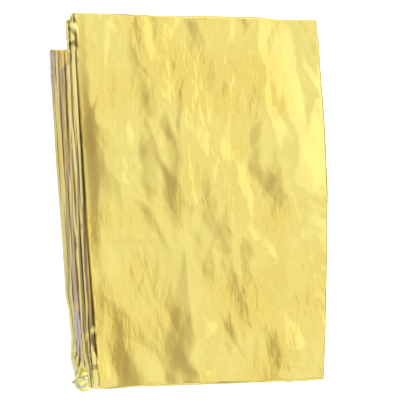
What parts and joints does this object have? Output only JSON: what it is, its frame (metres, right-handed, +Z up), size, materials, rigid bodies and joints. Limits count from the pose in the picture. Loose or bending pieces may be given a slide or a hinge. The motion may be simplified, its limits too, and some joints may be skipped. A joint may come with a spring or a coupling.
{
  "type": "folded emergency foil blanket",
  "caption": "Thin gold metallised film rescue blanket, pleated back and forth into a flat hand-sized block with uneven fold edges, lying on its back face.",
  "frame": {"origin": "on the surface that the block lies on, under the middle of its box", "axes": "+X across the pleats, with the uneven left fold edges at -X; +Y along the folds, towards the stepped head; +Z up through the layers, towards the front face"},
  "size_m": [0.0959, 0.1312, 0.0269],
  "materials": {
    "gold_film": "bright gold metallised polyester film, softly creased"
  },
  "bodies": {
    "root": {"foil_blanket": "gold_film"}
  },
  "joints": []
}
